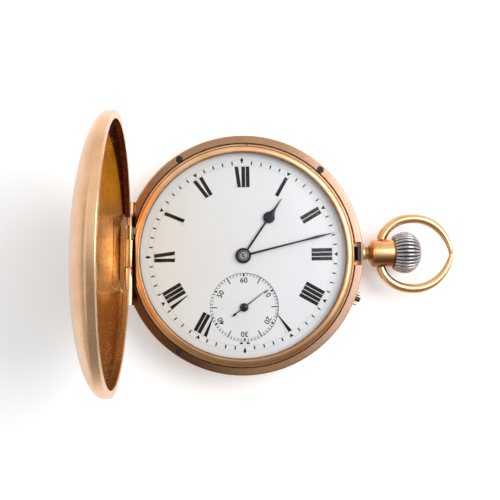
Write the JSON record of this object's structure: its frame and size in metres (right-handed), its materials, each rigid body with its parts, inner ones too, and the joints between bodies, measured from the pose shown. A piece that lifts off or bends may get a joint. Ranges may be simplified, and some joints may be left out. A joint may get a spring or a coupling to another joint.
{
  "type": "full hunter pocket watch",
  "caption": "Hunter pocket watch with sprung front lid, hinged back and dust cover, swivelling bow, winding crown, enamel dial with seconds dial, and a going train.",
  "frame": {"origin": "on the case axis, at the back cover's flat middle that the watch rests on", "axes": "+Z out of the dial, +X towards the crown at three o'clock, +Y towards twelve o'clock"},
  "size_m": [0.074, 0.0508, 0.0585],
  "materials": {
    "case_gold": "polished yellow gold with fine wear",
    "inner_gold": "polished yellow gold",
    "rose_gold": "polished rose gold",
    "glass": "clear watch glass",
    "dark_steel": "darkened screw heads",
    "crown_steel": "worn steel with dark grooves",
    "polished_steel": "polished steel",
    "enamel": "white fired enamel",
    "blued_steel": "blued steel",
    "gilt_brass": "frosted gilt",
    "ruby": "polished jewel"
  },
  "bodies": {
    "case": {"case_band": "case_gold", "pendant": "rose_gold", "bezel": "case_gold", "crystal": "glass", "front_hinge_pin": "case_gold", "back_hinge_pin": "case_gold", "dust_cover_hinge_pin": "inner_gold", "rim_screws": "dark_steel", "case_screws": "polished_steel", "dial": "enamel", "pillar_plate": "gilt_brass", "three_quarter_plate": "gilt_brass", "pillars": "gilt_brass", "plate_screws": "blued_steel", "jewels": "ruby", "crown_wheel_bridge": "gilt_brass", "pallet_cock": "gilt_brass", "balance_spring": "blued_steel", "balance_cock": "gilt_brass", "cock_screws": "blued_steel", "click_spring": "polished_steel", "click_screws": "blued_steel", "bridge_screws": "blued_steel"},
    "front_lid": {"front_lid": "case_gold"},
    "back_cover": {"back_cover": "case_gold"},
    "dust_cover": {"dust_cover": "inner_gold"},
    "bow": {"bow": "rose_gold"},
    "push_sleeve": {"push_sleeve": "polished_steel"},
    "crown": {"crown": "crown_steel", "winding_stem": "polished_steel"},
    "set_pin": {"set_pin": "polished_steel"},
    "lift_spring": {"lift_spring": "polished_steel"},
    "lock_spring": {"lock_spring": "polished_steel"},
    "minute_hand": {"minute_hand": "blued_steel", "cannon_pinion": "polished_steel"},
    "hour_hand": {"hour_hand": "blued_steel", "hour_wheel": "gilt_brass"},
    "minute_wheel": {"minute_wheel": "gilt_brass"},
    "seconds_hand": {"seconds_hand": "blued_steel", "fourth_wheel": "gilt_brass"},
    "third_wheel": {"third_wheel": "gilt_brass"},
    "centre_wheel": {"centre_wheel": "gilt_brass"},
    "barrel": {"barrel_drum": "gilt_brass", "barrel_cover": "gilt_brass", "mainspring": "polished_steel"},
    "winding_pinion": {"winding_pinion": "polished_steel"},
    "crown_wheel": {"crown_wheel": "polished_steel"},
    "ratchet_wheel": {"ratchet_wheel": "polished_steel", "barrel_arbor": "polished_steel"},
    "escape_wheel": {"escape_wheel": "polished_steel"},
    "pallet_lever": {"pallet_lever": "polished_steel"},
    "balance": {"balance_wheel": "gilt_brass", "balance_staff": "polished_steel"},
    "regulator": {"regulator": "polished_steel"},
    "click": {"click": "polished_steel"}
  },
  "joints": [
    {"name": "front_lid_hinge", "type": "hinge", "parent": "case", "child": "front_lid", "pos_m": [-0.02339, 0.00082, 0.0101], "axis": [0.0349, 0.9994, 0], "range_deg": [0, 88], "stiffness_Nm_per_rad": 0.002, "springref_deg": -22.92},
    {"name": "back_cover_hinge", "type": "hinge", "parent": "case", "child": "back_cover", "pos_m": [-0.02339, 0.00082, 0.0042], "axis": [0.0349, 0.9994, 0], "range_deg": [0, 70]},
    {"name": "dust_cover_hinge", "type": "hinge", "parent": "case", "child": "dust_cover", "pos_m": [-0.02199, 0.00077, 0.00415], "axis": [0.0349, 0.9994, 0], "range_deg": [0, 56]},
    {"name": "bow_swivel", "type": "hinge", "parent": "case", "child": "bow", "pos_m": [0.02932, 0, 0.0063], "axis": [0, 1, 0], "range_deg": [-90, 90]},
    {"name": "crown_push", "type": "slide", "parent": "case", "child": "push_sleeve", "axis": [-1, 0, 0], "range_m": [0, 0.0005], "stiffness_N_per_m": 1500},
    {"name": "crown_turn", "type": "hinge", "parent": "push_sleeve", "child": "crown", "pos_m": [0.03, 0, 0.0063], "axis": [1, 0, 0], "continuous": true},
    {"name": "set_pin_push", "type": "slide", "parent": "case", "child": "set_pin", "axis": [-0.9278, 0.373, 0], "range_m": [0, 0.0009], "stiffness_N_per_m": 500},
    {"name": "lift_spring_bend", "type": "hinge", "parent": "case", "child": "lift_spring", "pos_m": [-0.01367, -0.0196, 0.0072], "axis": [0, 0, -1], "range_deg": [0, 1.1]},
    {"name": "lock_spring_bend", "type": "hinge", "parent": "case", "child": "lock_spring", "pos_m": [0.01624, 0.01754, 0.0072], "axis": [0, 0, -1], "range_deg": [0, 1.5]},
    {"name": "minute_hand_turn", "type": "hinge", "parent": "case", "child": "minute_hand", "pos_m": [0, 0, 0.01], "axis": [0, 0, -1], "continuous": true},
    {"name": "hour_hand_turn", "type": "hinge", "parent": "case", "child": "hour_hand", "pos_m": [0, 0, 0.0095], "axis": [0, 0, -1], "continuous": true},
    {"name": "minute_wheel_turn", "type": "hinge", "parent": "case", "child": "minute_wheel", "pos_m": [0.00393, 0.00275, 0.008], "axis": [0, 0, -1], "continuous": true},
    {"name": "seconds_hand_turn", "type": "hinge", "parent": "case", "child": "seconds_hand", "pos_m": [0, -0.01075, 0.008], "axis": [0, 0, -1], "continuous": true},
    {"name": "third_wheel_turn", "type": "hinge", "parent": "case", "child": "third_wheel", "pos_m": [-0.00395, -0.00575, 0.0055], "axis": [0, 0, -1], "continuous": true},
    {"name": "centre_wheel_turn", "type": "hinge", "parent": "case", "child": "centre_wheel", "pos_m": [0, 0, 0.0055], "axis": [0, 0, -1], "continuous": true},
    {"name": "barrel_turn", "type": "hinge", "parent": "case", "child": "barrel", "pos_m": [0.007, 0.00566, 0.0055], "axis": [0, 0, -1], "continuous": true},
    {"name": "escape_wheel_turn", "type": "hinge", "parent": "case", "child": "escape_wheel", "pos_m": [-0.00521, -0.0131, 0.005], "axis": [0, 0, -1], "continuous": true},
    {"name": "winding_pinion_turn", "type": "hinge", "parent": "case", "child": "winding_pinion", "pos_m": [0.015, 0, 0.0063], "axis": [1, 0, 0], "continuous": true},
    {"name": "crown_wheel_turn", "type": "hinge", "parent": "case", "child": "crown_wheel", "pos_m": [0.01112, 0, 0.004], "axis": [0, 0, 1], "continuous": true},
    {"name": "ratchet_wheel_turn", "type": "hinge", "parent": "case", "child": "ratchet_wheel", "pos_m": [0.007, 0.00566, 0.004], "axis": [0, 0, 1], "continuous": true},
    {"name": "pallet_lever_rock", "type": "hinge", "parent": "case", "child": "pallet_lever", "pos_m": [-0.0084, -0.0102, 0.005], "axis": [0, 0, 1], "range_deg": [-5, 5]},
    {"name": "balance_swing", "type": "hinge", "parent": "case", "child": "balance", "pos_m": [-0.0125, -0.0065, 0.004], "axis": [0, 0, 1], "range_deg": [-270, 270]},
    {"name": "regulator_turn", "type": "hinge", "parent": "case", "child": "regulator", "pos_m": [-0.0125, -0.0065, 0.003], "axis": [0, 0, 1], "range_deg": [-20, 20]},
    {"name": "click_rock", "type": "hinge", "parent": "case", "child": "click", "pos_m": [0.00615, 0.01048, 0.0032], "axis": [0, 0, 1], "range_deg": [0, 8]}
  ],
  "couplings": [
    {"joint": "dust_cover_hinge", "follows": "back_cover_hinge", "ratio": 0.8},
    {"joint": "lift_spring_bend", "follows": "front_lid_hinge", "ratio": 0.012045},
    {"joint": "lock_spring_bend", "follows": "crown_push", "rad_per_m": 49.916},
    {"joint": "hour_hand_turn", "follows": "minute_hand_turn", "ratio": 0.083333},
    {"joint": "minute_wheel_turn", "follows": "minute_hand_turn", "ratio": -0.33333},
    {"joint": "third_wheel_turn", "follows": "seconds_hand_turn", "ratio": -0.13333},
    {"joint": "centre_wheel_turn", "follows": "seconds_hand_turn", "ratio": 0.016667},
    {"joint": "barrel_turn", "follows": "seconds_hand_turn", "ratio": -0.0020833},
    {"joint": "escape_wheel_turn", "follows": "seconds_hand_turn", "ratio": -10},
    {"joint": "winding_pinion_turn", "follows": "crown_turn", "ratio": 1},
    {"joint": "crown_wheel_turn", "follows": "crown_turn", "ratio": 0.39286},
    {"joint": "ratchet_wheel_turn", "follows": "crown_turn", "ratio": -0.39286}
  ]
}
